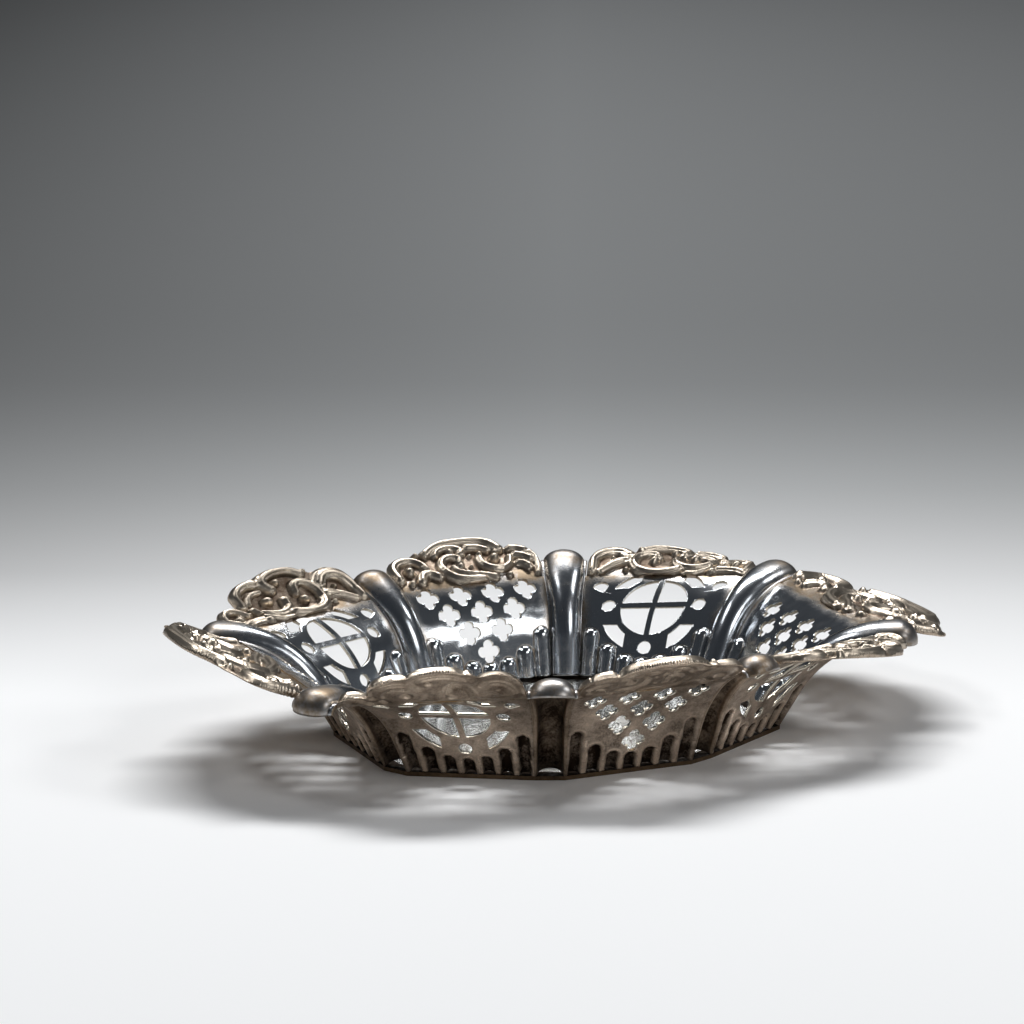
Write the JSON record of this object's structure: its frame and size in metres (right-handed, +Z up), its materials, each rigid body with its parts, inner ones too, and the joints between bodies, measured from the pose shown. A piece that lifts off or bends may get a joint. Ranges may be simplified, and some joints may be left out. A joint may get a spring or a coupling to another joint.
{
  "type": "bonbon dish",
  "caption": "Oval pierced metal bonbon dish with fluted flaring walls, curled lobes and a scrolled rim.",
  "frame": {"origin": "middle of the flat underside of the base plate", "axes": "+X along the long way of the oval, +Y along the short way, +Z up through the open top"},
  "size_m": [0.156, 0.105, 0.0271],
  "materials": {
    "plate_silver": "polished, lightly tarnished",
    "panel_silver": "polished, tarnished in the recesses",
    "lobe_silver": "polished",
    "border_silver": "polished relief, brown tarnish in the hollows"
  },
  "bodies": {
    "root": {"base_plate": "plate_silver", "quatrefoil_panel_right": "panel_silver", "quatrefoil_panel_left": "panel_silver", "quatrefoil_panel_back": "panel_silver", "quatrefoil_panel_front": "panel_silver", "wheel_panel_back_right": "panel_silver", "wheel_panel_back_left": "panel_silver", "wheel_panel_front_right": "panel_silver", "wheel_panel_front_left": "panel_silver", "lobe_right_back": "lobe_silver", "lobe_right_front": "lobe_silver", "lobe_left_back": "lobe_silver", "lobe_left_front": "lobe_silver", "lobe_back_right": "lobe_silver", "lobe_back_left": "lobe_silver", "lobe_front_right": "lobe_silver", "lobe_front_left": "lobe_silver", "scroll_border_right": "border_silver", "scroll_border_left": "border_silver", "scroll_border_back": "border_silver", "scroll_border_front": "border_silver", "scroll_border_back_right": "border_silver", "scroll_border_back_left": "border_silver", "scroll_border_front_right": "border_silver", "scroll_border_front_left": "border_silver"}
  },
  "joints": []
}
